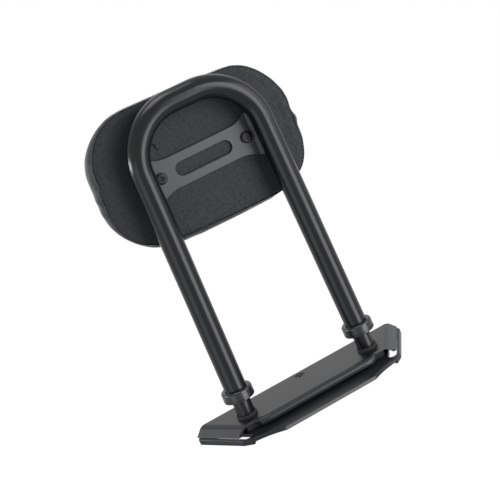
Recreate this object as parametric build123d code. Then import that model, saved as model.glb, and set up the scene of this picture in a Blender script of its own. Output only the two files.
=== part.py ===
from build123d import *
from math import atan2, cos, radians, sin, tan
import os

# A sissy bar: a padded backrest on a bent tube hoop, two posts and a two-plate base.
# Millimetres. +Z is up, +Y faces the rider and +X is the right-hand side seen from behind.
# The origin is on the underside of the bottom plate, midway between the posts.

# Base plates, in plan
FRONT_Y = 37.5
END_HALF = 112.0
END_TAPER = 28.0
TOP_REAR_Y = -30.0
NOTCH_Y = -22.5
REAR_FLANGE_HALF = 60.0
NOTCH_WIDTH = 18.0
NOTCH_SAG = 2.2
BOTTOM_MARGIN = 3.0
BOTTOM_TIP_R = 5.0
BOTTOM_CORNER_R = 4.0
SHOULDER_Y = -30.5
SHOULDER_CUT = 9.5
TONGUE_Y = -54.5
TONGUE_HALF = 55.0
TONGUE_SAG = 2.2
END_SLOT_LENGTH = 56.0
END_SLOT_WIDTH = 10.0
END_SLOT_INSET = 5.0
END_SLOT_Y = -8.0

# Base plates, in height
BOTTOM_T = 4.2
BOTTOM_ROUND = 2.2
END_LIP_H = 2.5
END_LIP_T = 3.0
PLATE_GAP = 0.2
TRAY_H = 10.1
SHEET_T = 2.5
END_SLOPE = 50.0
END_BEND_R = 8.0
REAR_BEND_R = 5.0

# Rubber liner between the plates
LINER_INSET = 14.0
LINER_REAR_Y = -18.0
LINER_FRONT_SETBACK = 4.0
LINER_PLAY = 0.4

# Posts and the rings at their feet
FOOT_SPAN = 154.0
POST_R = 10.0
POST_LENGTH = 86.0
RING_R = 11.7
RING_H = 3.4
RING_PLAY = 0.3

# Countersunk screws that hold the posts, from below
FOOT_SCREW_R = 4.0
FOOT_SCREW_HEAD_H = 3.2
FOOT_SCREW_REACH = 16.0
FOOT_SCREW_PLAY = 0.2

# Screw near the front edge of the top plate, and its weld nut
CLAMP_Y = 25.5
CLAMP_SCREW_R = 3.0
CLAMP_SINK_R = 6.4
CLAMP_SUNK = 0.8
CLAMP_NUT_AF = 10.0
CLAMP_NUT_H = 5.0

# Bolt holes that fix the base to the vehicle, and their weld nuts
MOUNT_SPAN = 100.0
MOUNT_Y = 6.0
MOUNT_HOLE_R = 4.2
MOUNT_NUT_AF = 13.0
MOUNT_NUT_H = 6.5
NUT_PLAY = 1.0

# Tube hoop
TUBE_R = 12.5
TUBE_WALL = 2.3
TOP_SPAN = 138.0
HOOP_TOP_Z = 352.9
BEND_R = 58.0

# Collars at the lower ends of the legs, and their set screws
COLLAR_Z = 42.3
COLLAR_R = 17.4
COLLAR_H = 12.0
COLLAR_LIP = 3.0
COLLAR_TOP_ROUND = 2.6
COLLAR_LOW_ROUND = 0.8
COLLAR_GROOVE_DROP = 3.6
COLLAR_GROOVE_W = 1.0
COLLAR_GROOVE_DEPTH = 0.7
SET_SCREW_R = 2.5
SET_SCREW_RISE = 0.6
SET_SCREW_SUNK = 0.5
SET_SCREW_HEX = 2.5
SET_SCREW_HEX_DEPTH = 2.0

# Dog-bone plate across the front of the legs
PLATE_Z = 282.7
PLATE_T = 3.0
PLATE_STEP = 5.0
PLATE_WAIST = 34.0
PLATE_FLARE = 48.0
PLATE_WAIST_HALF = 36.0
PLATE_FLARE_R = 40.0
PLATE_STEP_START = 58.5
PLATE_STEP_RUN = 5.0
PLATE_TAB = 4.0
SLOT_LENGTH = 67.0
SLOT_WIDTH = 15.8

# Screws that hold the pad, and their tee nuts
PAD_SCREW_SPAN = 102.0
PAD_SCREW_R = 3.0
PAD_SCREW_HEAD_R = 6.3
PAD_SCREW_HEAD_H = 3.6
PAD_SCREW_HEAD_ROUND = 2.2
PAD_SCREW_LENGTH = 12.0
RECESS_WIDTH = 1.5
RECESS_SPAN = 6.4
RECESS_DEPTH = 2.0
INSERT_R = 4.2
INSERT_FLANGE_R = 9.0
INSERT_FLANGE_T = 1.5
THREAD_PLAY = 0.1

# Backrest pad: its widest outline, then its section from the back to the front
PAD_Z = 286.4
PAD_WIDTH = 233.4
PAD_HEIGHT = 155.0
PAD_CORNER_R = 57.7
PAD_TAPER = 17.0
PAD_BACK_TURN = 5.2
PAD_WIDEST_DEPTH = 24.7
PAD_FRONT_TURN = 30.0
PAD_CROWN = 8.0
PAD_DEPTH = 60.0
FRONT_STEP = 45
CROWN_SHARE = 0.4
SEAM_RIM = 1.8
COVER_T = 1.5
BOARD_T = 8.0
BOARD_INSET = 12.0

# Levels and places that follow from the sizes above
FLANGE_Z = BOTTOM_T + PLATE_GAP
TRAY_TOP = FLANGE_Z + TRAY_H
SHEET_UNDER = TRAY_TOP - SHEET_T
SPLAY = atan2((FOOT_SPAN - TOP_SPAN) / 2, HOOP_TOP_Z - TRAY_TOP)
TUBE_BORE_R = TUBE_R - TUBE_WALL
PLATE_BACK_Y = TUBE_R + PLATE_STEP
PAD_BACK_Y = PLATE_BACK_Y + PLATE_T
BOARD_Y = PAD_BACK_Y + COVER_T
FAR = 400.0
SIDES = (("left", -1), ("right", 1))


def half_width(y):
    """Half the base's width at depth y: the ends taper towards the rear."""
    return END_HALF + y * tan(radians(END_TAPER))


def mirrored(right_points):
    """A closed polygon from its right-hand points, listed from the front to the rear."""
    left_points = [(-x, y) for x, y in reversed(right_points)]
    return Polygon(*right_points, *left_points, align=None)


def tapered(y_front, y_rear, inset=0.0):
    """The base's tapered outline between two depths, with both ends moved in by inset."""
    shift = inset / cos(radians(END_TAPER))
    return mirrored([(half_width(y_front) - shift, y_front), (half_width(y_rear) - shift, y_rear)])


def end_edges(block):
    """The two slanting top edges at the left and right ends of a tapered block."""
    along_x = block.edges().group_by(Axis.Z)[-1].sort_by(Axis.X)
    return [along_x[0], along_x[-1]]


def slab(sketch, z_low, z_high):
    """A sketch in plan raised between two heights."""
    return extrude(Pos(0, 0, z_low) * sketch, z_high - z_low, dir=(0, 0, 1))


def end_cut(side, inset):
    """The room outside one end of the top plate: over a face that slopes down to the flange's lower edge."""
    slope = radians(END_SLOPE)
    taper = radians(END_TAPER)
    outward = Vector(side * cos(taper) * sin(slope), -sin(taper) * sin(slope), cos(slope))
    face = Plane(origin=Vector(side * END_HALF, 0, FLANGE_Z) - outward * inset, z_dir=outward)
    return extrude(face * Rectangle(2 * FAR, 2 * FAR), FAR, dir=outward)


def sloped_ends(y_front, y_rear, inset, z_top, radius):
    """A tapered block with ends that slope down past the flange's lower edge, rounded at the top."""
    block = slab(tapered(y_front, y_rear, -SHEET_T), FLANGE_Z - SHEET_T, z_top)
    for _, side in SIDES:
        block -= end_cut(side, inset)
    return fillet(end_edges(block), radius)


def rounded_rear(outline, z_top, radius):
    """An outline raised to a block with its rear edge rounded over, open below the flange."""
    block = slab(outline, z_top - radius - SHEET_T, z_top)
    rear_edge = block.edges().group_by(Axis.Z)[-1].sort_by(Axis.Y)[0]
    return fillet(rear_edge, radius)


def top_plate():
    """Pressed cover: sloping ends, a folded rear flange between two notches, open at the front."""
    half = REAR_FLANGE_HALF
    wide = half + NOTCH_WIDTH
    rear_outline = (
        Line((-half, TOP_REAR_Y), (half, TOP_REAR_Y))
        + SagittaArc((half, TOP_REAR_Y), (wide, NOTCH_Y), -NOTCH_SAG)
        + Polyline((wide, NOTCH_Y), (wide, 0), (-wide, 0), (-wide, NOTCH_Y))
        + SagittaArc((-wide, NOTCH_Y), (-half, TOP_REAR_Y), -NOTCH_SAG)
    )
    plate = sloped_ends(FRONT_Y, NOTCH_Y, 0, TRAY_TOP, END_BEND_R)
    plate += rounded_rear(make_face(rear_outline), TRAY_TOP, REAR_BEND_R)
    end_room = sloped_ends(FRONT_Y + SHEET_T, NOTCH_Y - SHEET_T, SHEET_T, SHEET_UNDER, END_BEND_R - SHEET_T)
    end_room -= slab(Pos(0, NOTCH_Y - FAR / 2) * Rectangle(2 * FAR, FAR), 0, FAR)
    rear_room = mirrored([(wide, 0), (wide, TOP_REAR_Y + SHEET_T)])
    plate -= end_room
    plate -= rounded_rear(rear_room, SHEET_UNDER, REAR_BEND_R - SHEET_T)
    plate -= slab(Rectangle(2 * FAR, 2 * FAR), -FAR, FLANGE_Z)
    for _, side in SIDES:
        plate -= slab(Pos(side * FOOT_SPAN / 2, 0) * Circle(FOOT_SCREW_R + FOOT_SCREW_PLAY), 0, FAR)
    cone = Cone(CLAMP_SINK_R - SHEET_T, CLAMP_SINK_R, SHEET_T, align=(Align.CENTER, Align.CENTER, Align.MAX))
    return plate - Pos(0, CLAMP_Y, TRAY_TOP) * cone


def end_slot(side):
    """A slot beside one end of the bottom plate, parallel to that end."""
    x = half_width(END_SLOT_Y) - END_SLOT_INSET / cos(radians(END_TAPER))
    slot = SlotOverall(END_SLOT_LENGTH, END_SLOT_WIDTH, rotation=side * (90 - END_TAPER))
    return Pos(side * x, END_SLOT_Y) * slot


def end_corners():
    """The bottom plate's corners at its right end: the front tip, the shoulder's root and its cut end."""
    margin = BOTTOM_MARGIN / cos(radians(END_TAPER))
    tip = Vector(half_width(FRONT_Y) + margin, FRONT_Y)
    root = Vector(half_width(SHOULDER_Y) + margin, SHOULDER_Y)
    return tip, root, root - Vector(SHOULDER_CUT, SHOULDER_CUT)


def end_lip(side):
    """The lip's strip in plan: along one tapered end and round its cut shoulder."""
    tip, root, cut = end_corners()
    end_out = Vector(cos(radians(END_TAPER)), -sin(radians(END_TAPER)))
    cut_out = Vector(1, -1).normalized()
    root_in = root - (end_out + cut_out) * (END_LIP_T / (1 + end_out.dot(cut_out)))
    corners = [tip, root, cut, cut - cut_out * END_LIP_T, root_in, tip - end_out * END_LIP_T]
    return Polygon(*[(side * corner.X, corner.Y) for corner in corners], align=None)


def bottom_plate():
    """Base plate: tapered ends and cut shoulders with a lip below, slots, a tongue with concave flanks."""
    tip, root, cut = end_corners()
    end = Vector(TONGUE_HALF, TONGUE_Y)
    flip = [Vector(-corner.X, corner.Y) for corner in (end, cut, root, tip)]
    outline = (
        Polyline(tip, root, cut)
        + SagittaArc(cut, end, -TONGUE_SAG)
        + Line(end, flip[0])
        + SagittaArc(flip[0], flip[1], -TONGUE_SAG)
        + Polyline(*flip[1:], tip)
    )
    face = make_face(outline)
    face = fillet(face.vertices().group_by(Axis.Y)[-1], BOTTOM_TIP_R)
    face = fillet([corner for corner in face.vertices() if corner.Y < SHOULDER_Y + 1], BOTTOM_CORNER_R)
    plate = slab(face, 0, BOTTOM_T)
    plate = fillet(plate.edges().group_by(Axis.Z)[-1], BOTTOM_ROUND)
    for _, side in SIDES:
        plate += slab(end_lip(side) & face, -END_LIP_H, 0)
        plate -= slab(end_slot(side), -FAR, FAR)
        plate -= Pos(side * FOOT_SPAN / 2, 0, 0) * foot_screw_shape(0)
        plate -= slab(Pos(side * FOOT_SPAN / 2, 0) * Circle(FOOT_SCREW_R + FOOT_SCREW_PLAY), 0, FAR)
        plate -= slab(Pos(side * MOUNT_SPAN / 2, MOUNT_Y) * Circle(MOUNT_HOLE_R), 0, FAR)
    return plate


def liner():
    """Moulded rubber block between the plates, with pockets for the nuts and screws."""
    outline = tapered(FRONT_Y - LINER_FRONT_SETBACK, LINER_REAR_Y, LINER_INSET)
    block = slab(outline, BOTTOM_T, SHEET_UNDER)
    for _, side in SIDES:
        block -= slab(Pos(side * FOOT_SPAN / 2, 0) * Circle(FOOT_SCREW_R + LINER_PLAY), 0, FAR)
        pocket = Circle(MOUNT_NUT_AF / 2 / cos(radians(30)) + NUT_PLAY)
        block -= slab(Pos(side * MOUNT_SPAN / 2, MOUNT_Y) * pocket, 0, BOTTOM_T + MOUNT_NUT_H + NUT_PLAY)
    block -= slab(Pos(0, CLAMP_Y) * Circle(CLAMP_SINK_R), 0, FAR)
    pocket = Circle(CLAMP_NUT_AF / 2 / cos(radians(30)) + NUT_PLAY)
    return block - slab(Pos(0, CLAMP_Y) * pocket, 0, BOTTOM_T + CLAMP_NUT_H + NUT_PLAY)


def weld_nut(across_flats, height, bore_r):
    """A plain hexagon nut that stands on the bottom plate."""
    hexagon = RegularPolygon(across_flats / 2, 6, major_radius=False)
    return slab(hexagon - Circle(bore_r), BOTTOM_T, BOTTOM_T + height)


def foot_screw_shape(reach):
    """A countersunk screw with its flat head flush with the underside of the bottom plate."""
    head = Cone(
        FOOT_SCREW_R + FOOT_SCREW_HEAD_H,
        FOOT_SCREW_R,
        FOOT_SCREW_HEAD_H,
        align=(Align.CENTER, Align.CENTER, Align.MIN),
    )
    return head + slab(Circle(FOOT_SCREW_R), 0, FOOT_SCREW_HEAD_H + reach)


def foot_screw():
    """The foot screw, with a hexagon socket in its head."""
    screw = foot_screw_shape(TRAY_TOP - FOOT_SCREW_HEAD_H + FOOT_SCREW_REACH)
    return screw - slab(RegularPolygon(FOOT_SCREW_R * 0.6, 6, major_radius=False), 0, FOOT_SCREW_HEAD_H)


def clamp_screw():
    """A flat-head screw, sunk a little in the top plate's dimple, that reaches its weld nut."""
    top = TRAY_TOP - CLAMP_SUNK
    head_r = CLAMP_SINK_R - CLAMP_SUNK
    head_h = head_r - CLAMP_SCREW_R
    head = Cone(CLAMP_SCREW_R, head_r, head_h, align=(Align.CENTER, Align.CENTER, Align.MAX))
    socket = RegularPolygon(CLAMP_SCREW_R * 0.65, 6, major_radius=False)
    screw = Pos(0, 0, top) * head + slab(Circle(CLAMP_SCREW_R), BOTTOM_T, top - head_h)
    return Pos(0, CLAMP_Y, 0) * (screw - slab(socket, top - head_h, top))


def leg_frame(side):
    """The frame of a leg: origin where its axis meets the top plate, Z along the leg."""
    run = -side * (FOOT_SPAN - TOP_SPAN) / 2
    rise = HOOP_TOP_Z - TRAY_TOP
    return Plane(origin=(side * FOOT_SPAN / 2, 0, TRAY_TOP), x_dir=(rise, 0, -run), z_dir=(run, 0, rise))


def along_leg(z):
    """The distance along a leg's axis, from the top plate, to height z."""
    return (z - TRAY_TOP) / cos(SPLAY)


COLLAR_AT = along_leg(COLLAR_Z)
TUBE_END = COLLAR_AT - COLLAR_H / 2 + COLLAR_LIP
SET_SCREW_AT = COLLAR_AT + SET_SCREW_RISE


def cylinder_along(radius, low, high):
    """A cylinder on a leg's axis between two distances."""
    return extrude(Pos(0, 0, low) * Circle(radius), high - low)


def set_screw_frame():
    """The frame of a set screw on a leg: origin on the leg's axis, Z forwards."""
    return Plane(origin=(0, 0, SET_SCREW_AT), x_dir=(1, 0, 0), z_dir=(0, 1, 0))


def set_screw_hole(radius, inner, outer):
    """A radial cylinder at the front of a leg, between two distances from its axis."""
    return set_screw_frame().location * cylinder_along(radius, inner, outer)


def post(side):
    """A round post, cut level where it stands on the top plate and bored for its screw."""
    bar = leg_frame(side).location * cylinder_along(POST_R, -POST_R, POST_LENGTH)
    bar = chamfer(bar.edges().group_by(Axis.Z)[-1], 1.0)
    bar -= slab(Rectangle(2 * FAR, 2 * FAR), -FAR, TRAY_TOP)
    bore = Circle(FOOT_SCREW_R + THREAD_PLAY)
    return bar - slab(Pos(side * FOOT_SPAN / 2, 0) * bore, 0, TRAY_TOP + FOOT_SCREW_REACH + NUT_PLAY)


def post_ring(side):
    """The rubber ring round the foot of a post."""
    ring = slab(Circle(RING_R) - Circle(POST_R + RING_PLAY), TRAY_TOP, TRAY_TOP + RING_H)
    ring = chamfer(ring.edges().group_by(Axis.Z)[-1].sort_by(SortBy.RADIUS)[-1], RING_H / 4)
    return Pos(side * FOOT_SPAN / 2, 0, 0) * ring


def collar(side):
    """A locking collar: bored for the tube, grooved outside, with a lip under the tube's end."""
    low = COLLAR_AT - COLLAR_H / 2
    ring = cylinder_along(COLLAR_R, low, low + COLLAR_H)
    ring = fillet(ring.edges().group_by(Axis.Z)[-1], COLLAR_TOP_ROUND)
    ring = fillet(ring.edges().group_by(Axis.Z)[0], COLLAR_LOW_ROUND)
    groove = cylinder_along(COLLAR_R, 0, COLLAR_GROOVE_W) - cylinder_along(COLLAR_R - COLLAR_GROOVE_DEPTH, 0, FAR)
    ring -= Pos(0, 0, COLLAR_AT - COLLAR_GROOVE_DROP) * groove
    ring -= cylinder_along(TUBE_R, TUBE_END, low + COLLAR_H)
    ring -= cylinder_along(TUBE_BORE_R, low, TUBE_END)
    return leg_frame(side).location * (ring - set_screw_hole(SET_SCREW_R, 0, COLLAR_R + 1))


def collar_screw(side):
    """A set screw that passes through the collar and the tube to the post."""
    tip = COLLAR_R - SET_SCREW_SUNK
    screw = set_screw_hole(SET_SCREW_R - THREAD_PLAY, POST_R, tip)
    hexagon = RegularPolygon(SET_SCREW_HEX / 2, 6, major_radius=False)
    socket = extrude(Pos(0, 0, tip - SET_SCREW_HEX_DEPTH) * hexagon, SET_SCREW_HEX_DEPTH)
    screw -= set_screw_frame().location * socket
    return leg_frame(side).location * screw


def hoop_tube():
    """One tube bent to a U, with a set screw hole at the front of each leg's lower end."""
    feet = [leg_frame(side).from_local_coords((0, 0, TUBE_END)) for _, side in SIDES]
    corners = [Vector(side * TOP_SPAN / 2, 0, HOOP_TOP_Z) for _, side in SIDES]
    path = FilletPolyline(feet[0], corners[0], corners[1], feet[1], radius=BEND_R)
    section = Plane(origin=feet[0], z_dir=path % 0) * (Circle(TUBE_R) - Circle(TUBE_BORE_R))
    tube = sweep(section, path)
    for _, side in SIDES:
        tube -= leg_frame(side).location * set_screw_hole(SET_SCREW_R, POST_R / 2, TUBE_R + 1)
    return tube


def leg_x(z):
    """The distance of a leg's axis from the middle at height z."""
    return FOOT_SPAN / 2 - (z - TRAY_TOP) * tan(SPLAY)


def hoop_plane(y):
    """The plane beside the hoop's own at y, with X across and its Y up."""
    return Plane(origin=(0, y, 0), x_dir=(1, 0, 0), z_dir=(0, -1, 0))


def upright(sketch, y_back, depth):
    """A sketch drawn in the hoop's plane (X across, Y up), raised forwards from y_back."""
    return extrude(hoop_plane(y_back) * sketch, depth, dir=(0, 1, 0))


def dog_bone_outline(reach):
    """The dog-bone's outline: a straight waist that flares in an arc towards each leg, and a slot."""
    waist = PLATE_WAIST / 2
    flare = PLATE_FLARE / 2
    rise = flare - waist
    run = (2 * PLATE_FLARE_R * rise - rise**2) ** 0.5
    knee = PLATE_WAIST_HALF
    top = (
        Line((-knee, waist), (knee, waist))
        + TangentArc((knee, waist), (knee + run, flare), tangent=(1, 0))
        + Polyline((knee + run, flare), (reach, flare), (reach, -flare), (knee + run, -flare))
        + TangentArc((knee, -waist), (knee + run, -flare), tangent=(1, 0))
        + Line((knee, -waist), (-knee, -waist))
        + TangentArc((-knee, -waist), (-knee - run, -flare), tangent=(-1, 0))
        + Polyline((-knee - run, -flare), (-reach, -flare), (-reach, flare), (-knee - run, flare))
        + TangentArc((-knee, waist), (-knee - run, flare), tangent=(-1, 0))
    )
    return make_face(top) - SlotOverall(SLOT_LENGTH, SLOT_WIDTH)


def pad_plate():
    """The dog-bone plate: its ends step back to the legs' front, where they are welded."""
    reach = leg_x(PLATE_Z) + PLATE_TAB
    step_end = PLATE_STEP_START + PLATE_STEP_RUN
    back = [
        (-reach, TUBE_R),
        (-step_end, TUBE_R),
        (-PLATE_STEP_START, PLATE_BACK_Y),
        (PLATE_STEP_START, PLATE_BACK_Y),
        (step_end, TUBE_R),
        (reach, TUBE_R),
    ]
    front = [(x, y + PLATE_T) for x, y in reversed(back)]
    strip = slab(Polygon(*back, *front, align=None), PLATE_Z - PLATE_FLARE, PLATE_Z + PLATE_FLARE)
    plate = strip & upright(Pos(0, PLATE_Z) * dog_bone_outline(reach), 0, FAR)
    for _, side in SIDES:
        hole = Pos(side * PAD_SCREW_SPAN / 2, PLATE_Z) * Circle(PAD_SCREW_R + 0.3)
        plate -= upright(hole, 0, FAR)
    return plate


def at_pad_screw(side, piece):
    """Places a piece drawn on the Z axis on a pad screw's axis, with Z pointing forwards from the plate."""
    plane = Plane(origin=(side * PAD_SCREW_SPAN / 2, PLATE_BACK_Y, PLATE_Z), x_dir=(1, 0, 0), z_dir=(0, 1, 0))
    return plane.location * piece


def pad_screw(side):
    """A pan head screw with a cross recess."""
    head = extrude(Circle(PAD_SCREW_HEAD_R), -PAD_SCREW_HEAD_H)
    head = fillet(head.edges().group_by(Axis.Z)[0], PAD_SCREW_HEAD_ROUND)
    cross = Rectangle(RECESS_SPAN, RECESS_WIDTH) + Rectangle(RECESS_WIDTH, RECESS_SPAN)
    head -= extrude(Pos(0, 0, -PAD_SCREW_HEAD_H) * cross, RECESS_DEPTH)
    return at_pad_screw(side, head + extrude(Circle(PAD_SCREW_R), PAD_SCREW_LENGTH))


def pad_insert(side):
    """A tee nut: a barrel through the board and a flange on the board's front."""
    low = BOARD_Y - PLATE_BACK_Y
    high = low + BOARD_T
    bore = Circle(PAD_SCREW_R + THREAD_PLAY)
    barrel = extrude(Pos(0, 0, low) * (Circle(INSERT_R) - bore), BOARD_T)
    flange = extrude(Pos(0, 0, high) * (Circle(INSERT_FLANGE_R) - bore), INSERT_FLANGE_T)
    return at_pad_screw(side, barrel + flange)


def pad_outline(inset, depth=0.0, share=1.0):
    """The pad's rounded outline at a depth from its back, moved in by inset and then scaled by share.

    Its height draws in with depth, as the top and bottom slope towards each other at the front.
    """
    drawn_in = share * (1 - depth * tan(radians(PAD_TAPER)) / (PAD_HEIGHT / 2))
    width = share * (PAD_WIDTH - 2 * inset)
    height = drawn_in * (PAD_HEIGHT - 2 * inset)
    return Pos(0, PAD_Z) * RectangleRounded(width, height, drawn_in * (PAD_CORNER_R - inset))


def pad_block(wall):
    """The cushion's soft form, a wall's thickness inside its skin: one loft from the back to the front.

    Its outlines stand at the flat back, at the widest line, half way round the front edge, at the edge of
    the front, which is a quarter ellipse from the widest line, and near the middle of its crown.
    """
    edge_depth = PAD_DEPTH - PAD_CROWN - wall
    round_inset = PAD_FRONT_TURN * (1 - cos(radians(FRONT_STEP)))
    round_depth = PAD_WIDEST_DEPTH + (edge_depth - PAD_WIDEST_DEPTH) * sin(radians(FRONT_STEP))
    crown_depth = edge_depth + PAD_CROWN * (1 - CROWN_SHARE ** 2)
    outlines = (
        (PAD_BACK_TURN, wall, 1.0),
        (0.0, PAD_WIDEST_DEPTH, 1.0),
        (round_inset, round_depth, 1.0),
        (PAD_FRONT_TURN, edge_depth, 1.0),
        (PAD_FRONT_TURN, crown_depth, CROWN_SHARE),
    )
    sections = []
    for inset, depth, share in outlines:
        sections.append(hoop_plane(PAD_BACK_Y + depth) * pad_outline(wall + inset, depth, share))
    return loft(sections)


def pad_parts():
    """The pad's cover, back panel, board and foam, each filling the room inside the next."""
    opening = pad_outline(PAD_BACK_TURN + SEAM_RIM)
    room = pad_block(COVER_T)
    cover = pad_block(0) - room - upright(opening, PAD_BACK_Y - COVER_T, 3 * COVER_T)
    panel = upright(opening, PAD_BACK_Y, COVER_T)
    board = upright(pad_outline(BOARD_INSET), BOARD_Y, BOARD_T)
    foam = room - board
    for _, side in SIDES:
        panel -= at_pad_screw(side, extrude(Circle(PAD_SCREW_R + 0.3), FAR))
        board -= at_pad_screw(side, extrude(Circle(INSERT_R), FAR))
        foam -= pad_insert(side)
        foam -= at_pad_screw(side, extrude(Circle(INSERT_R), PAD_SCREW_LENGTH + BOARD_T))
    return {"pad_cover": cover, "pad_back_panel": panel, "pad_board": board, "pad_foam": foam}


def build_parts():
    """All the part's pieces by name."""
    parts = {
        "bottom_plate": bottom_plate(),
        "top_plate": top_plate(),
        "liner": liner(),
        "clamp_screw": clamp_screw(),
        "clamp_nut": Pos(0, CLAMP_Y, 0) * weld_nut(CLAMP_NUT_AF, CLAMP_NUT_H, CLAMP_SCREW_R + THREAD_PLAY),
        "hoop_tube": hoop_tube(),
        "pad_plate": pad_plate(),
    }
    parts.update(pad_parts())
    for name, side in SIDES:
        nut = weld_nut(MOUNT_NUT_AF, MOUNT_NUT_H, MOUNT_HOLE_R)
        parts["mount_nut_" + name] = Pos(side * MOUNT_SPAN / 2, MOUNT_Y, 0) * nut
        parts["foot_screw_" + name] = Pos(side * FOOT_SPAN / 2, 0, 0) * foot_screw()
        parts["post_" + name] = post(side)
        parts["post_ring_" + name] = post_ring(side)
        parts["collar_" + name] = collar(side)
        parts["collar_screw_" + name] = collar_screw(side)
        parts["pad_screw_" + name] = pad_screw(side)
        parts["pad_insert_" + name] = pad_insert(side)
    return parts


os.makedirs("parts", exist_ok=True)
for node, solid in build_parts().items():
    export_step(solid, "parts/" + node + ".step")
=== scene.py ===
"""Sissy bar with a padded backrest: satin black coats, grained vinyl, dark screws, in a white studio.

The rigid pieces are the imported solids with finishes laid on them. The pad's cover, its back panel and
its stitches are new pieces: a swollen cushion form, with its seam and wrinkles worked into it.
Shapes are worked out in millimetres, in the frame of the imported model: X across, Y forward from the
posts to the pad, Z up from the underside of the base.
"""

import bpy
import numpy as np
from mathutils import Matrix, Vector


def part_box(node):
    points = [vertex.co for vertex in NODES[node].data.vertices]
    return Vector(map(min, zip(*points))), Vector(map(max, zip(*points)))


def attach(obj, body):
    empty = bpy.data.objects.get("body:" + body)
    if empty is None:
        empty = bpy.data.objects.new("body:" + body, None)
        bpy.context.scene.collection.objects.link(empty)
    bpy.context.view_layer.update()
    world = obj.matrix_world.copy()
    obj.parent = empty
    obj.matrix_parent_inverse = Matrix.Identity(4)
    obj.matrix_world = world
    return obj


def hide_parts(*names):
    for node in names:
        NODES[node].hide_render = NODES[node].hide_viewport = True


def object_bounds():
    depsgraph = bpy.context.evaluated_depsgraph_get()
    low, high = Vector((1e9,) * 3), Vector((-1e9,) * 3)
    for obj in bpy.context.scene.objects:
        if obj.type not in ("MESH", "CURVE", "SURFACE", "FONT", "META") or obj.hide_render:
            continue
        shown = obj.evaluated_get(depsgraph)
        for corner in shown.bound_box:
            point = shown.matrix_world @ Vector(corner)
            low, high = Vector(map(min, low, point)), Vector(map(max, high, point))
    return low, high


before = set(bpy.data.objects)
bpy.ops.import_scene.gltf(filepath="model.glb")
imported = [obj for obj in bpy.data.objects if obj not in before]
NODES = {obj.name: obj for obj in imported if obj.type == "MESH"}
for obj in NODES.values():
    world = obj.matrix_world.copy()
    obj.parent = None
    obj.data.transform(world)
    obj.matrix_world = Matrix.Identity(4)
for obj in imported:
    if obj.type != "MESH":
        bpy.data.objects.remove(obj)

CAD_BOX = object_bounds()
MM = 0.001

# The photograph's camera: turns in degrees, focal length and frame in pixels, places in mm.
VIEW_YAW = 13.83
VIEW_PITCH = 13.89
VIEW_ROLL = -24.08
VIEW_FOCAL = 1100.0
VIEW_FRAME = 500.0
VIEW_SENSOR = 36.0
VIEW_DATUM = np.array([0.0, 0.0, 42.3])
VIEW_SHIFT = np.array([52.5, 118.3, 1196.0])
VIEW_NEAR = 0.05

# Pad, in mm and degrees: its place, and its widest outline about its own middle.
PAD_BACK_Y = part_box("pad_cover")[0][1] / MM
PAD_FRONT_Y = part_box("pad_cover")[1][1] / MM
PAD_MIDDLE_X = -1.7
PAD_MIDDLE_Z = 286.4
PAD_TURN = -2.3
PAD_TAPER = 17.0
PAD_HALF_WIDTH = 116.7
PAD_HALF_HEIGHT = 77.5
PAD_CORNER_R = 57.7
PAD_GIRTH = 4 * (PAD_HALF_WIDTH + PAD_HALF_HEIGHT) - (8 - 2 * np.pi) * PAD_CORNER_R
PAD_BOW = 2.4
PAD_SKEW = 3.6

# The sag below the pad's lower seam: its most, where that is, and how far it fades to each side. The
# lower edge begins, and is full, at these downward shares of the outline's outward direction.
PAD_SAG = 5.4
SAG_X = -40.0
SAG_LEFT = 56.0
SAG_RIGHT = 76.0
LOWER_EDGE_START = 0.6
LOWER_EDGE_FULL = 0.95

# The back seam, and the lap at its lower left corner: it begins at a height and fades by angle.
SEAM_INSET = 5.2
SEAM_ROLL = 2.5
SEAM_DEPTH = 1.2
SEAM_WIDTH = 0.9
SEAM_SPREAD = 9.0
LAP_TOP = 9.0
LAP_STEP = 3.0
LAP_REACH = 2.4
LAP_FIRST_ANGLE = 130
LAP_FADE_ANGLE = 222
LAP_LAST_ANGLE = 262

# The pad's section: the panel's fall to its seam and its puff beside it, the side's middle, the front.
PANEL_FALL = 1.0
PANEL_FALL_WIDTH = 45.0
PANEL_PUFF = 0.5
PUFF_INSET = 6.0
PUFF_WIDTH = 4.5
WALL_MID = 24.7
FRONT_INSET = 30.0
CROWN = 8.0

# Rows of the cover, by share of its section, and of the panel, by mm from its seam: first, last, count.
COVER_COLUMNS = 720
COVER_ROWS = ((0, 0.35, 21), (0.35, 1, 19), (1, 2, 29), (2, 2.97, 26))
PANEL_ROWS = ((0, 4, 19), (4, PANEL_FALL_WIDTH, 30))
PANEL_MIDDLE_ROWS = 25
PANEL_MIDDLE_SHARE = 0.97

# The cushion that is blown up as cloth: its grid, its voxels, what is pinned, and how far it may move.
CUSHION_COLUMNS = 160
CUSHION_ROWS = 60
CUSHION_LAST_SHARE = 2.96
CUSHION_VOXEL = 5.0
PINNED_DEPTH = 5.0
SWELL_START = 1.5
SWELL_PRESSURE = 4.0
SWELL_STEPS = 20
SWELL_CAP = 6.0
SWELL_FREE = 0.22
SOFTEN_FACTOR = 0.5
SOFTEN_STEPS = 8

# Wrinkles of the cover: waves round its side, folds by height, z and width, and puckers at the stitches.
# Each place along the section is the middle and the width of a bell.
WAVE_HEIGHT = 0.35
WAVE_LENGTHS = (17.0, 41.0)
WAVE_ALONG = (0.9, 0.8)
FOLD_ALONG = (0.55, 0.42)
LEFT_FOLD_ANGLE = (190, 45)
LEFT_FOLDS = ((2.2, -4.0, 5.0), (-0.6, 6.0, 4.0), (1.8, -19.0, 5.0))
RIGHT_FOLD_HALF = 60
RIGHT_FOLDS = ((1.9, -5.0, 6.0), (-1.0, 7.0, 6.0), (0.8, -24.0, 8.0))
COVER_PUCKER = 0.16
COVER_PUCKER_ALONG = (0.12, 0.10)
PANEL_PUCKER = 0.14
PANEL_PUCKER_INSET = (2.2, 2.0)

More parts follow.
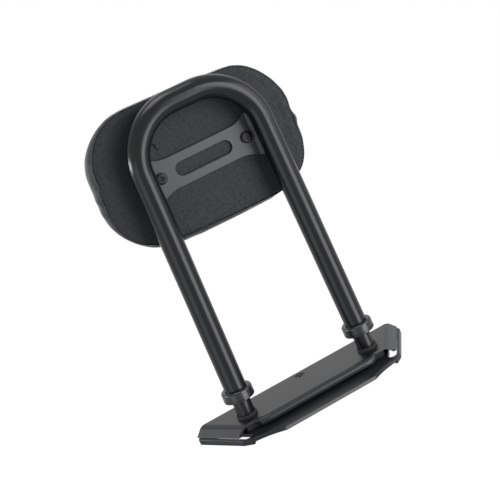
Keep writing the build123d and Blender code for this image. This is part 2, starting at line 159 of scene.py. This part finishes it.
# Scuffs on the back panel: two ends as (x, z), and half the width.
SCUFFS = (
    ((-45.2, 322.4), (-40.8, 308.4), 1.3),
    ((-45.0, 316.0), (-39.6, 317.4), 1.0),
    ((-42.4, 327.2), (-43.8, 322.8), 0.9),
)

# Stitches beside the back seam.
STITCH_PITCH = 4.4
STITCH_LENGTH = 2.8
STITCH_R = 0.3
STITCH_INSET = 1.9
STITCH_RINGS = 7
STITCH_SIDES = 6
STITCH_TAPER = 0.94

# Finishes: the pieces that differ from their slot's own, the painted highlight on a rear edge, and where
# the painted shadow begins.
OWN_FINISHES = {
    "bottom_plate": "ledge_coat",
    "collar_left": "collar_coat",
    "collar_right": "collar_coat",
}
# Painted highlight on the bottom plate's rear edge: how deep it reaches, and its grey.
LIT_EDGE_Y = CAD_BOX[0][1] / MM + 1.4
EDGE_HIGHLIGHT_GREY = 0.08
PLATE_UNSHADED_HALF = 61.5

# Studio, in metres: the floor and its glow, the level of the ambient light, and where the lights aim.
FLOOR_R = 0.75
FLOOR_FIRST_R = 0.02
FLOOR_DROP_MM = 0.05
FLOOR_GLOW = 1.12
FLOOR_GLOW_SHARE = 0.85
AMBIENT = 0.35
AIM_HEIGHT = 0.18


class Wire:
    """One output socket of a node tree, used in arithmetic: each operation adds one Math node."""

    def __init__(self, nodes, socket):
        self.nodes = nodes
        self.socket = socket

    def math(self, operation, first, second):
        return self.nodes.add("ShaderNodeMath", {"operation": operation}, {0: first, 1: second})

    def __add__(self, other):
        return self.math("ADD", self, other)

    def __sub__(self, other):
        return self.math("SUBTRACT", self, other)

    def __rsub__(self, other):
        return self.math("SUBTRACT", other, self)

    def __mul__(self, other):
        return self.math("MULTIPLY", self, other)

    def __pow__(self, other):
        return self.math("POWER", self, other)

    def above(self, other):
        return self.math("MAXIMUM", self, other)

    def below(self, other):
        return self.math("MINIMUM", self, other)

    __radd__ = __add__
    __rmul__ = __mul__


class Nodes:
    """A node tree that is being filled: one method adds any node, another joins a value to a socket."""

    def __init__(self, tree):
        self.tree = tree

    def add(self, kind, settings, sockets, output=0):
        node = self.tree.nodes.new(kind)
        for key, value in settings.items():
            setattr(node, key, value)
        for key, value in sockets.items():
            self.join(node.inputs[key], value)
        return Wire(self, node.outputs[output])

    def join(self, socket, value):
        if isinstance(value, Wire):
            self.tree.links.new(value.socket, socket)
        else:
            socket.default_value = value


class Finish(Nodes):
    """A material with one Principled shader, and the textures that finishes here are made of."""

    def __init__(self, name, **constants):
        self.material = bpy.data.materials.new(name)
        self.material.use_nodes = True
        super().__init__(self.material.node_tree)
        self.shader = self.tree.nodes["Principled BSDF"]
        for socket, value in constants.items():
            self.shader.inputs[socket.replace("_", " ")].default_value = value
        self.where = self.add("ShaderNodeTexCoord", {}, {}, "Object")

    def noise(self, scale, detail=2.0, rough=0.5, where=None):
        sockets = {"Vector": where or self.where, "Scale": scale, "Detail": detail, "Roughness": rough}
        return self.add("ShaderNodeTexNoise", {}, sockets)

    def cells(self, scale, feature="SMOOTH_F1", where=None):
        sockets = {"Vector": where or self.where, "Scale": scale}
        return self.add("ShaderNodeTexVoronoi", {"feature": feature}, sockets)

    def blend(self, share, first, second):
        """A colour that goes from the first to the second as the share goes from 0 to 1."""
        return self.add("ShaderNodeMix", {"data_type": "RGBA"}, {0: share, 6: first, 7: second}, 2)

    def bump(self, height, strength, distance):
        sockets = {"Height": height, "Strength": strength, "Distance": distance}
        return self.add("ShaderNodeBump", {}, sockets)

    def position(self, axis):
        """Where along one axis, in mm."""
        return self.add("ShaderNodeSeparateXYZ", {}, {0: self.where}, axis) * (1 / MM)

    def oval(self, first, last, half_width):
        """1 at the middle of a long oval between two points (x, z), in mm, falling to 0 at its edge.

        It is 1 less the squares of the shares along and across the oval, and 0 where that is below 0.
        """
        middle = (first + last) / 2
        half = (last - first) / 2
        reach = np.linalg.norm(half)
        x = self.position("X") - float(middle[0])
        z = self.position("Z") - float(middle[1])
        along = (x * float(half[0]) + z * float(half[1])) * float(1 / reach ** 2)
        across = (x * float(half[1]) - z * float(half[0])) * float(1 / (reach * half_width))
        return (1.0 - along * along - across * across).above(0.0)

    def lay(self, **sockets):
        for socket, value in sockets.items():
            self.join(self.shader.inputs[socket.replace("_", " ")], value)
        return self.material


def grey(level, warmth=0.0):
    """A near-neutral colour in linear light, bluer where the warmth is below zero."""
    return (level * (1 + warmth), level, level * (1 - warmth), 1.0)


def satin_coat(name, level, rough, ior, peel, tint, lit_rear=None, shadow_ends=None):
    """Baked black coat: fine orange peel, and a slow drift in its depth and gloss.

    Behind the rear depth given, in mm, the rear edge gets a lighter grey: a painted highlight. Beyond
    the end distance given, in mm from the middle, it turns near black and rougher: painted shadow of the
    legs.
    """
    coat = Finish(name, IOR=ior)
    drift = coat.noise(11.0, 3.0)
    texture = coat.noise(900.0, 1.0)
    colour = coat.blend(drift, grey(level * 0.8, tint), grey(level * 1.25, tint))
    # Painted highlight: a lighter grey on the rear edge, standing in for the light that edge catches.
    if lit_rear:
        edge_light = (lit_rear - coat.position("Y")).above(0.0).below(1.0)
        colour = coat.blend(edge_light, colour, grey(EDGE_HIGHLIGHT_GREY))
    # Painted shadow: the plate's ends turn near black and rougher where the legs' shadow falls on them.
    if shadow_ends:
        across = coat.position("X")
        over = (across.above(-1.0 * across) - shadow_ends).above(0.0).below(1.0)
        colour = coat.blend(over, colour, grey(0.003))
        rough = rough + 0.3 * over
    return coat.lay(
        Base_Color=colour,
        Roughness=rough + 0.08 * (drift - 0.5),
        Normal=coat.bump(texture, peel, 0.0001),
    )


def vinyl(name, scuffs=()):
    """Grained black vinyl: small rounded pebbles in loose rows, duller in the creases, with painted
    shade darkening them.

    Each scuff is a long oval in the XZ plane, in mm: its two ends and its half width.
    """
    skin = Finish(name, IOR=1.305, Sheen_Weight=0.6, Sheen_Roughness=0.3)
    drift = skin.noise(16.0, 3.0)
    rows = skin.add("ShaderNodeMapping", {}, {"Vector": skin.where, "Scale": (0.8, 1.0, 1.15)})
    pebble = skin.cells(470.0, where=rows).below(1.0)
    patch = skin.noise(420.0, 2.0, 0.6, rows)
    fine = skin.noise(2600.0, 2.0)
    mark = 0.0
    for first, last, half_width in scuffs:
        mark = skin.oval(np.array(first), np.array(last), half_width).above(mark)
    colour = skin.blend(drift, grey(0.016, -0.13), grey(0.025, -0.13))
    # Painted shade: the colour darkens in the creases between pebbles, and to near black in the scuffs.
    colour = skin.blend((0.8 * pebble).above(mark), colour, grey(0.002))
    return skin.lay(
        Base_Color=colour,
        Roughness=0.5 + 0.12 * patch + 0.12 * pebble + 0.3 * mark,
        Normal=skin.bump(1.0 - pebble ** 1.5 + 0.4 * patch + 0.2 * fine - 2.0 * mark, 0.75, 0.0005),
    )


def rubber(name):
    """Matt black rubber with a dusty, slightly uneven face."""
    skin = Finish(name, IOR=1.4)
    dust = skin.noise(120.0, 4.0)
    return skin.lay(
        Base_Color=skin.blend(dust, grey(0.008), grey(0.018)),
        Roughness=0.6 + 0.2 * dust,
        Normal=skin.bump(skin.noise(1500.0), 0.15, 0.0001),
    )


def dark_screw(name):
    """Blackened steel: a thin dark oxide, rubbed a little brighter in patches."""
    metal = Finish(name, IOR=1.3)
    patch = metal.noise(260.0, 3.0)
    return metal.lay(
        Base_Color=metal.blend(patch, grey(0.003), grey(0.012)),
        Roughness=0.24 + 0.14 * patch,
        Normal=metal.bump(metal.noise(1800.0), 0.08, 0.0001),
    )


def zinc(name):
    """Zinc plate: pale grey metal with a fine spangle."""
    metal = Finish(name, Metallic=1.0)
    spangle = metal.cells(500.0, "F1")
    return metal.lay(
        Base_Color=metal.blend(spangle, grey(0.55, -0.02), grey(0.7, -0.03)),
        Roughness=0.32 + 0.15 * spangle,
        Normal=metal.bump(metal.noise(900.0), 0.05, 0.0001),
    )


def plywood(name):
    """Birch board: long grain drawn out along X, with fine pores."""
    wood = Finish(name)
    along = wood.add("ShaderNodeMapping", {}, {"Vector": wood.where, "Scale": (1.0, 12.0, 9.0)})
    grain = wood.noise(18.0, 5.0, 0.6, along)
    return wood.lay(
        Base_Color=wood.blend(grain, (0.42, 0.27, 0.14, 1.0), (0.66, 0.48, 0.29, 1.0)),
        Roughness=0.6 + 0.15 * grain,
        Normal=wood.bump(grain, 0.2, 0.0002),
    )


def thread(name):
    """Black bonded thread with a soft sheen and a twist along it."""
    yarn = Finish(name, IOR=1.45)
    twist = yarn.noise(2400.0, 2.0)
    return yarn.lay(
        Base_Color=yarn.blend(twist, grey(0.008), grey(0.03)),
        Roughness=0.5 + 0.2 * twist,
        Normal=yarn.bump(twist, 0.3, 0.0001),
    )


def foam(name):
    """Cut upholstery foam: pale yellow, full of small open cells."""
    block = Finish(name)
    pores = block.cells(900.0, "F1")
    return block.lay(
        Base_Color=block.blend(pores, (0.5, 0.43, 0.26, 1.0), (0.82, 0.76, 0.56, 1.0)),
        Roughness=0.85 + 0.1 * pores,
        Normal=block.bump(pores, 0.6, 0.0006),
    )


FINISHES = {
    "base_coat": satin_coat("base_coat", level=0.006, rough=0.34, ior=1.42, peel=0.10, tint=-0.25),
    "ledge_coat": satin_coat(
        "ledge_coat", level=0.011, rough=0.34, ior=1.28, peel=0.10, tint=-0.15, lit_rear=LIT_EDGE_Y
    ),
    "collar_coat": satin_coat("collar_coat", level=0.006, rough=0.27, ior=1.48, peel=0.30, tint=-0.2),
    "tube_coat": satin_coat("tube_coat", level=0.003, rough=0.22, ior=1.35, peel=0.05, tint=-0.25),
    "plate_coat": satin_coat(
        "plate_coat", level=0.034, rough=0.42, ior=1.42, peel=0.12, tint=-0.06, shadow_ends=PLATE_UNSHADED_HALF
    ),
    "vinyl": vinyl("vinyl"),
    "scuffed_vinyl": vinyl("scuffed_vinyl", SCUFFS),
    "rubber": rubber("rubber"),
    "black_screw": dark_screw("black_screw"),
    "zinc": zinc("zinc"),
    "plywood": plywood("plywood"),
    "foam": foam("foam"),
    "thread": thread("thread"),
}


def finish_rigid_pieces():
    """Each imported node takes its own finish, or that of the material slot that it came with."""
    for name, node in NODES.items():
        for slot in node.material_slots:
            slot.material = FINISHES[OWN_FINISHES.get(name, slot.material.name.split(".")[0])]


def grid_faces(rows, columns):
    """Quads of a grid of rows by columns whose columns join up into a ring."""
    index = np.arange(rows * columns).reshape(rows, columns)
    after = np.roll(index, -1, axis=1)
    quads = [index[:-1], after[:-1], after[1:], index[1:]]
    return np.stack(quads, axis=-1).reshape(-1, 4)


def ring_mesh(name, points, first_pole=None, last_pole=None):
    """Mesh of rings of points (rows, columns, 3), in mm, with a fan to each pole that is given."""
    rows, columns = points.shape[:2]
    corners = [points.reshape(-1, 3)]
    faces = grid_faces(rows, columns).tolist()
    ring = np.arange(columns)
    after = np.roll(ring, -1)
    count = rows * columns
    if first_pole is not None:
        corners.append(np.reshape(first_pole, (1, 3)))
        faces += np.stack([after, ring, np.full(columns, count)], axis=-1).tolist()
        count += 1
    if last_pole is not None:
        corners.append(np.reshape(last_pole, (1, 3)))
        base = (rows - 1) * columns
        faces += np.stack([ring + base, after + base, np.full(columns, count)], axis=-1).tolist()
    mesh = bpy.data.meshes.new(name)
    mesh.from_pydata((np.concatenate(corners) * MM).tolist(), [], faces)
    mesh.update()
    return mesh


def place(name, mesh, slot=None, finish=None):
    """A new object for a mesh, smooth all over, in the scene and with its finish."""
    piece = bpy.data.objects.new(name, mesh)
    bpy.context.scene.collection.objects.link(piece)
    mesh.shade_smooth()
    if slot:
        mesh.materials.append(FINISHES[finish or slot])
        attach(piece, "root")
    return piece


def ramp(value, low, high):
    """A smooth step from 0 below low to 1 above high: three squares of the share less two cubes."""
    share = np.clip((value - low) / (high - low), 0, 1)
    return share * share * (3 - 2 * share)


def bell(value, middle, width):
    """A bell of height 1 round a middle: e to the power of minus the squared distance in widths."""
    return np.exp(-(((value - middle) / width) ** 2))


def spaced(runs):
    """A column of values in runs of first, last and count: only the final run reaches its last value."""
    early = [np.linspace(first, last, count, endpoint=False) for first, last, count in runs[:-1]]
    return np.concatenate(early + [np.linspace(*runs[-1])])[:, None]


def pad_outline(around):
    """The pad's widest outline: points (x, z) from its middle, and the outward angle at each.

    The share round it runs by arc length from the lower end of the right side, anticlockwise as seen
    from the back. Arc centres and angles are read off straight runs and quarter arcs. The long edges are
    then bowed by a parabola, the lower one sags, and the right end is skewed: drawn in at its top and
    let out below.
    """
    run_x = PAD_HALF_WIDTH - PAD_CORNER_R
    run_z = PAD_HALF_HEIGHT - PAD_CORNER_R
    quarter = PAD_CORNER_R * np.pi / 2
    half_way = [2 * run_z, quarter, 2 * run_x, quarter]
    stations = np.cumsum([0] + half_way + half_way)
    centre_x = run_x * np.array([1, 1, 1, -1, -1, -1, -1, 1, 1])
    centre_z = run_z * np.array([-1, 1, 1, 1, 1, -1, -1, -1, -1])
    turns = np.pi / 2 * np.array([0, 0, 1, 1, 2, 2, 3, 3, 4])
    at = np.mod(around, 1.0) * stations[-1]
    angle = np.interp(at, stations, turns)
    x = np.interp(at, stations, centre_x) + PAD_CORNER_R * np.cos(angle)
    z = np.interp(at, stations, centre_z) + PAD_CORNER_R * np.sin(angle)
    bow = PAD_BOW * np.sin(angle) ** 2 * (1 - (x / PAD_HALF_WIDTH) ** 2)
    skew = PAD_SKEW * np.sin(2 * angle) * np.maximum(np.cos(angle), 0)
    out = bow - skew + pad_sag(x, angle)
    return x + out * np.cos(angle), z + out * np.sin(angle), angle


def lower_share(angle):
    """1 along the pad's lower edge, falling to 0 in its two lower corners."""
    return ramp(-np.sin(angle), LOWER_EDGE_START, LOWER_EDGE_FULL)


def pad_sag(x, angle):
    """How far the cushion hangs out below its seam: a bell, wider to the right of its middle."""
    reach = np.where(x < SAG_X, SAG_LEFT, SAG_RIGHT)
    return PAD_SAG * bell(x, SAG_X, reach) * lower_share(angle)


def pad_place(x, depth, z):
    """Points from the pad's own frame to the part's.

    The height draws in with depth, so that the top and bottom slope to the front, and the whole pad is
    turned a little in its plane, as it was screwed on.
    """
    z = z * (1 - np.tan(np.radians(PAD_TAPER)) * depth / PAD_HALF_HEIGHT)
    c, s = np.cos(np.radians(PAD_TURN)), np.sin(np.radians(PAD_TURN))
    across = PAD_MIDDLE_X + c * x - s * z
    up = PAD_MIDDLE_Z + s * x + c * z
    return np.stack(np.broadcast_arrays(across, PAD_BACK_Y + depth, up), axis=-1)


def seam_inset(around):
    """How far the back seam lies inside the widest outline: more at the lower edge, less at the lap."""
    x, z, angle = pad_outline(around)
    turn = np.degrees(angle)
    below = 1 - ramp(z, LAP_TOP - LAP_STEP, LAP_TOP)
    lap = (turn > LAP_FIRST_ANGLE) * below * (1 - ramp(turn, LAP_FADE_ANGLE, LAP_LAST_ANGLE))
    return SEAM_INSET - LAP_REACH * lap + pad_sag(x, angle) + SEAM_ROLL * lower_share(angle)


def cover_form(around, along, shrink=0.0):
    """The cushion's cover from its back seam, over the side, to near the middle of its front.

    For shares along from 0 to 1 a quarter ellipse goes from the seam out to the side, from 1 to 2
    another turns on to the front, and from 2 to 3 the front rises to its middle by a parabola.
    """
    back = np.clip(along, 0, 1) * np.pi / 2
    front = np.clip(along - 1, 0, 1) * np.pi / 2
    inwards = np.clip(along - 2, 0, 1)
    edge_depth = PAD_FRONT_Y - PAD_BACK_Y - CROWN
    side_inset = seam_inset(around) * (1 - np.sin(back))
    front_inset = FRONT_INSET * (1 - np.cos(front))
    inset = np.where(along < 1, side_inset, front_inset)
    side_depth = PANEL_FALL + (WALL_MID - PANEL_FALL) * (1 - np.cos(back))
    front_depth = WALL_MID + (edge_depth - WALL_MID) * np.sin(front)
    depth = np.where(along < 1, side_depth, front_depth)
    depth = depth + CROWN * (1 - (1 - inwards) ** 2) - shrink * np.clip(along, 0, 1)
    x, z, angle = pad_outline(around)
    x = (x - (inset + shrink) * np.cos(angle)) * (1 - inwards)
    z = (z - (inset + shrink) * np.sin(angle)) * (1 - inwards)
    return pad_place(x, depth, z)


def apply_modifiers(piece):
    """Swaps the object's mesh for its evaluated copy, and clears its modifiers."""
    shape = piece.evaluated_get(bpy.context.evaluated_depsgraph_get())
    mesh = bpy.data.meshes.new_from_object(shape)
    piece.modifiers.clear()
    piece.data = mesh


def read_points(piece):
    """The object's mesh points in mm."""
    points = np.empty(len(piece.data.vertices) * 3)
    piece.data.vertices.foreach_get("co", points)
    return points.reshape(-1, 3) / MM


def write_points(piece, points):
    """Puts points in mm back into the object's mesh."""
    piece.data.vertices.foreach_set("co", (points * MM).ravel())
    piece.data.update()


def swollen_cushion():
    """The cushion as its foam fills it: a smaller form, remeshed and blown up as cloth.

    The back stays pinned to its board, and no point moves further than the cap.
    """
    around = np.linspace(0, 1, CUSHION_COLUMNS, endpoint=False)[None, :]
    along = np.linspace(0, CUSHION_LAST_SHARE, CUSHION_ROWS)[:, None]
    points = cover_form(around, along, SWELL_START)[:, ::-1]
    back = pad_place(0.0, 0.0, 0.0)
    front = points[-1].mean(axis=0)
    cushion = place("cushion_form", ring_mesh("cushion_form", points, back, front))
    remesh = cushion.modifiers.new("even", "REMESH")
    remesh.mode = "VOXEL"
    remesh.voxel_size = CUSHION_VOXEL * MM
    apply_modifiers(cushion)
    start = read_points(cushion)
    board = cushion.vertex_groups.new(name="board")
    pinned = np.flatnonzero(start[:, 1] < PAD_BACK_Y + PINNED_DEPTH)
    board.add(pinned.tolist(), 1.0, "REPLACE")
    cloth = cushion.modifiers.new("fill", "CLOTH")
    cloth.settings.vertex_group_mass = "board"
    cloth.settings.use_pressure = True
    cloth.settings.uniform_pressure_force = SWELL_PRESSURE
    cloth.settings.effector_weights.gravity = 0.0
    for step in range(1, SWELL_STEPS + 1):
        bpy.context.scene.frame_set(step)
    apply_modifiers(cushion)
    bpy.context.scene.frame_set(1)
    moved = read_points(cushion) - start
    reach = np.linalg.norm(moved, axis=1, keepdims=True)
    write_points(cushion, start + moved * np.minimum(1, SWELL_CAP / np.maximum(reach, 0.001)))
    soften = cushion.modifiers.new("soften", "SMOOTH")
    soften.factor = SOFTEN_FACTOR
    soften.iterations = SOFTEN_STEPS
    fine = cushion.modifiers.new("fine", "SUBSURF")
    fine.levels = 2
    fine.render_levels = 2
    apply_modifiers(cushion)
    return cushion


def outward(points):
    """Unit normals of a grid of rings that runs from the back seam to the front."""
    round_it = np.roll(points, -1, axis=1) - np.roll(points, 1, axis=1)
    over_it = np.gradient(points, axis=0)
    normal = np.cross(over_it, round_it)
    return normal / np.maximum(np.linalg.norm(normal, axis=-1, keepdims=True), 1e-9)


def folds(z, table):
    """Bells along the height, added up: each has its own height, place and width."""
    return sum(height * bell(z, middle, width) for height, middle, width in table)


def puckers(around):
    """A cosine round the pad that crests at every stitch."""
    return np.cos(2 * np.pi * around * PAD_GIRTH / STITCH_PITCH)


def wrinkles(around, along):
    """How far the cover stands out from the cushion, in mm.

    Slow waves, a product of two sines, run round the side. Two folds gather below the lap at the left
    end and two at the right, under a hollow, and the skin puckers at every stitch beside the seam.
    """
    x, z, angle = pad_outline(around)
    length = around * PAD_GIRTH
    side = bell(along, *FOLD_ALONG)
    left = (x < 0) * bell(np.degrees(angle), *LEFT_FOLD_ANGLE)
    right = (x > 0) * (np.abs(z) < RIGHT_FOLD_HALF)
    waves = WAVE_HEIGHT * np.sin(length / WAVE_LENGTHS[0]) * np.sin(length / WAVE_LENGTHS[1] + 1.0)
    gathers = left * side * folds(z, LEFT_FOLDS) + right * side * folds(z, RIGHT_FOLDS)
    pucker = COVER_PUCKER * puckers(around) * bell(along, *COVER_PUCKER_ALONG)
    return waves * bell(along, *WAVE_ALONG) + gathers + pucker


def pad_cover():
    """The vinyl cover: a fine grid with the cushion's swell and the wrinkles, its edge sunk in the seam.

    The swell is how far the grid moves outwards when it is laid on the cushion, less its mean, so the
    cover keeps the size of its plain form.
    """
    cushion = swollen_cushion()
    around = np.linspace(0, 1, COVER_COLUMNS, endpoint=False)[None, :]
    along = spaced(COVER_ROWS)
    points = cover_form(around, along, SWELL_START)
    front = points[-1].mean(axis=0)
    mesh = ring_mesh("pad_vinyl_cover", points[:, ::-1], None, front)
    cover = place("pad_vinyl_cover", mesh, "vinyl")
    wrap = cover.modifiers.new("lay", "SHRINKWRAP")
    wrap.target = cushion
    wrap.wrap_method = "NEAREST_SURFACEPOINT"
    apply_modifiers(cover)
    bpy.data.objects.remove(cushion)
    laid = read_points(cover)[:-1].reshape(points.shape)[:, ::-1]
    form = cover_form(around, along)
    swell = np.sum((laid - points) * outward(form), axis=-1)
    free = 1 - bell(along, 0.0, SWELL_FREE)
    stand_out = wrinkles(around, along) + free * (swell - swell.mean())
    grid = form + outward(form) * stand_out[..., None]
    share = np.clip(along, 0, 1)
    from_seam = seam_inset(around) * np.sin(share * np.pi / 2) + SEAM_SPREAD * share
    grid[..., 1] += SEAM_DEPTH * bell(from_seam, 0.0, SEAM_WIDTH)
    write_points(cover, np.concatenate([grid[:, ::-1].reshape(-1, 3), grid[-1].mean(axis=0)[None]]))
    cover.data.shade_smooth()
    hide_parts("pad_cover", "pad_foam")


def back_form(around, inset):
    """The back panel at an inset from the widest outline.

    It falls to its edge by a parabola and sinks into the seam by a narrow bell. Beside the seam it puffs
    up by a wider bell, and puckers at every stitch.
    """
    x, z, angle = pad_outline(around)
    from_seam = inset - seam_inset(around)
    fall = PANEL_FALL * np.clip(1 - from_seam / PANEL_FALL_WIDTH, 0, 1) ** 2
    puff = PANEL_PUFF * bell(from_seam, PUFF_INSET, PUFF_WIDTH)
    pucker = PANEL_PUCKER * puckers(around) * bell(from_seam, *PANEL_PUCKER_INSET)
    depth = fall + SEAM_DEPTH * bell(from_seam, 0.0, SEAM_WIDTH) - puff - pucker
    return pad_place(x - inset * np.cos(angle), depth, z - inset * np.sin(angle))


def pad_back():
    """The vinyl back panel on its board, from the seam to the middle."""
    around = np.linspace(0, 1, COVER_COLUMNS, endpoint=False)[None, :]
    points = back_form(around, seam_inset(around) + spaced(PANEL_ROWS))
    middle = pad_place(0.0, 0.0, 0.0)
    inwards = np.linspace(0, PANEL_MIDDLE_SHARE, PANEL_MIDDLE_ROWS + 1)[1:, None, None]
    points = np.concatenate([points, points[-1:] * (1 - inwards) + middle * inwards])
    mesh = ring_mesh("pad_vinyl_back", points, None, middle)
    panel = place("pad_vinyl_back", mesh, "vinyl", "scuffed_vinyl")
    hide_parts("pad_back_panel")


def seam_stitches():
    """Short thread stitches just inside the back seam: a bent capsule at every pitch round the pad.

    Each is a ring of six points carried along its length. Its radius falls to its ends as a cosine.
    """
    count = int(PAD_GIRTH / STITCH_PITCH)
    centre = (np.arange(count) / count)[:, None, None]
    along = np.linspace(-0.5, 0.5, STITCH_RINGS)[None, :, None]
    turn = np.linspace(0, 2 * np.pi, STITCH_SIDES, endpoint=False)[None, None, :]
    around = centre + along * STITCH_LENGTH / PAD_GIRTH
    inset = seam_inset(around) + STITCH_INSET
    spine = back_form(around, inset)
    angle = pad_outline(around)[2] + np.radians(PAD_TURN)
    radius = STITCH_R * np.cos(along * np.pi * STITCH_TAPER)
    across = radius * np.cos(turn)
    x = spine[..., 0] + across * np.cos(angle)
    z = spine[..., 2] + across * np.sin(angle)
    y = spine[..., 1] - radius * np.sin(turn)
    points = np.stack(np.broadcast_arrays(x, y, z), axis=-1)
    size = STITCH_RINGS * STITCH_SIDES
    first_cap = np.array([[5, 4, 3, 2], [5, 2, 1, 0]])
    last_cap = np.array([[0, 1, 2, 3], [0, 3, 4, 5]]) + size - STITCH_SIDES
    one = np.concatenate([grid_faces(STITCH_RINGS, STITCH_SIDES), first_cap, last_cap])[:, ::-1]
    all_faces = (one[None] + size * np.arange(count)[:, None, None]).reshape(-1, 4)
    mesh = bpy.data.meshes.new("seam_stitches")
    mesh.from_pydata((points.reshape(-1, 3) * MM).tolist(), [], all_faces.tolist())
    mesh.update()
    place("seam_stitches", mesh, "vinyl", "thread")


def turn_z(degrees):
    """Turn about the third axis."""
    c, s = np.cos(np.radians(degrees)), np.sin(np.radians(degrees))
    return np.array([[c, -s, 0], [s, c, 0], [0, 0, 1]])


def turn_x(degrees):
    """Turn about the first axis."""
    c, s = np.cos(np.radians(degrees)), np.sin(np.radians(degrees))
    return np.array([[1, 0, 0], [0, c, -s], [0, s, c]])


def photo_camera():
    """The camera where the photograph was taken from, with its axes as rows: right, down, forward."""
    upright = np.array([[1, 0, 0], [0, 0, -1], [0, 1, 0]])
    axes = turn_z(VIEW_ROLL) @ turn_x(VIEW_PITCH) @ upright @ turn_z(VIEW_YAW)
    spot = (VIEW_DATUM - axes.T @ VIEW_SHIFT) * MM
    data = bpy.data.cameras.new("photo_camera")
    data.sensor_width = VIEW_SENSOR
    data.lens = VIEW_SENSOR * VIEW_FOCAL / VIEW_FRAME
    data.clip_start = VIEW_NEAR
    camera = bpy.data.objects.new("photo_camera", data)
    pose = np.eye(4)
    pose[:3, 0] = axes[0]
    pose[:3, 1] = -axes[1]
    pose[:3, 2] = -axes[2]
    pose[:3, 3] = spot
    camera.matrix_world = Matrix(pose.tolist())
    bpy.context.scene.collection.objects.link(camera)
    bpy.context.scene.camera = camera


def seen_share(nodes):
    """1 for rays from the camera and those mirrored or let through on the way, otherwise 0."""
    path = nodes.add("ShaderNodeLightPath", {}, {}, "Is Camera Ray")
    mirrored = nodes.add("ShaderNodeLightPath", {}, {}, "Is Glossy Ray")
    through = nodes.add("ShaderNodeLightPath", {}, {}, "Is Transmission Ray")
    return path.above(mirrored).above(through)


def white_world():
    """White where it is seen or mirrored, and a softer level as light on the object."""
    world = bpy.data.worlds.new("studio")
    world.use_nodes = True
    nodes = Nodes(world.node_tree)
    background = world.node_tree.nodes["Background"]
    background.inputs["Color"].default_value = (1, 1, 1, 1)
    nodes.join(background.inputs["Strength"], AMBIENT + (1 - AMBIENT) * seen_share(nodes))
    bpy.context.scene.world = world


def studio_floor():
    """A round white floor under the base that keeps a faint shadow."""
    around = np.linspace(0, 2 * np.pi, 96, endpoint=False)[None, :]
    radius = np.linspace(FLOOR_FIRST_R, FLOOR_R, 12)[:, None] / MM
    low = CAD_BOX[0][2] / MM - FLOOR_DROP_MM
    x = radius * np.cos(around)
    y = radius * np.sin(around)
    points = np.stack(np.broadcast_arrays(x, y, low), axis=-1)
    mesh = ring_mesh("studio_floor", points[::-1], None, np.array([0.0, 0.0, low]))
    floor = place("studio_floor", mesh)
    paint = Finish("studio_floor", Roughness=0.9)
    tone = paint.noise(3.0)
    surface = paint.lay(Base_Color=paint.blend(tone, grey(0.88), grey(0.92)))
    glow = paint.add("ShaderNodeEmission", {}, {"Color": grey(1.0), "Strength": FLOOR_GLOW})
    seen = FLOOR_GLOW_SHARE * seen_share(paint)
    plain = Wire(paint, paint.shader.outputs[0])
    mixed = paint.add("ShaderNodeMixShader", {}, {0: seen, 1: plain, 2: glow})
    paint.join(paint.tree.nodes["Material Output"].inputs["Surface"], mixed)
    mesh.materials.append(surface)
    floor.visible_glossy = False
    floor.visible_shadow = False


def softbox(name, azimuth, height, distance, size, radiance):
    """A soft panel light that faces the middle of the bar.

    The azimuth is in degrees from straight behind the bar (-Y), to its right; sizes are in metres.
    """
    data = bpy.data.lights.new(name, "AREA")
    data.shape = "RECTANGLE"
    data.size, data.size_y = size
    data.energy = radiance * np.pi * size[0] * size[1]
    lamp = bpy.data.objects.new(name, data)
    turn = np.radians(azimuth)
    spot = np.array([np.sin(turn) * distance, -np.cos(turn) * distance, height])
    back = spot - np.array([0.0, 0.0, AIM_HEIGHT])
    back /= np.linalg.norm(back)
    side = np.cross([0.0, 0.0, 1.0], back)
    side /= np.linalg.norm(side)
    pose = np.eye(4)
    pose[:3, 0] = side
    pose[:3, 1] = np.cross(back, side)
    pose[:3, 2] = back
    pose[:3, 3] = spot
    lamp.matrix_world = Matrix(pose.tolist())
    lamp.visible_camera = False
    bpy.context.scene.collection.objects.link(lamp)


finish_rigid_pieces()
pad_cover()
pad_back()
seam_stitches()
photo_camera()
white_world()
studio_floor()
softbox("side_softbox", azimuth=31.5, height=0.1, distance=2.2, size=(1.3, 2.4), radiance=6.0)
softbox("right_softbox", azimuth=64.0, height=0.7, distance=2.3, size=(1.2, 1.6), radiance=2.4)
softbox("upper_left_softbox", azimuth=-107.0, height=0.58, distance=2.0, size=(1.1, 0.34), radiance=15.0)
softbox("left_softbox", azimuth=-57.0, height=-0.10, distance=2.4, size=(1.5, 1.6), radiance=1.3)
softbox("top_softbox", azimuth=-60.0, height=1.75, distance=0.1, size=(0.8, 0.8), radiance=5.0)
bpy.context.scene.view_settings.view_transform = "Standard"
